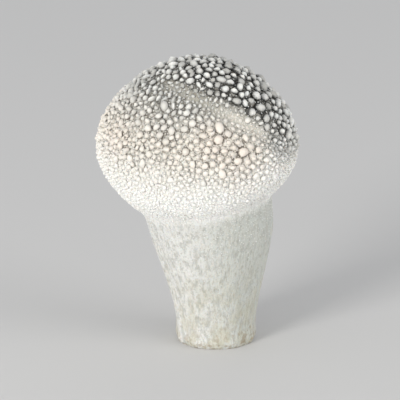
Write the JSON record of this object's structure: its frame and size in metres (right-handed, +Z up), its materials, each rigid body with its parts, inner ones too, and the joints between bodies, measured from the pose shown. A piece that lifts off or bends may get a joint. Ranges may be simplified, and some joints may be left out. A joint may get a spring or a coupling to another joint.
{
  "type": "small puffball mushroom",
  "caption": "Small round puffball mushroom with a pearl-studded head on a short tapering stem, standing on its flat cut foot.",
  "frame": {"origin": "centre of the flat cut foot, on the surface that the mushroom stands on", "axes": "+Z up the stem to the crown, -Y towards the front, -X the side that the head leans to"},
  "size_m": [0.043, 0.0416, 0.0624],
  "materials": {
    "puffball_skin": "dry and matt: cream-white skin with pearly studs, dark grey between them on the crown, bare white stem"
  },
  "bodies": {
    "root": {"puffball": "puffball_skin"}
  },
  "joints": []
}
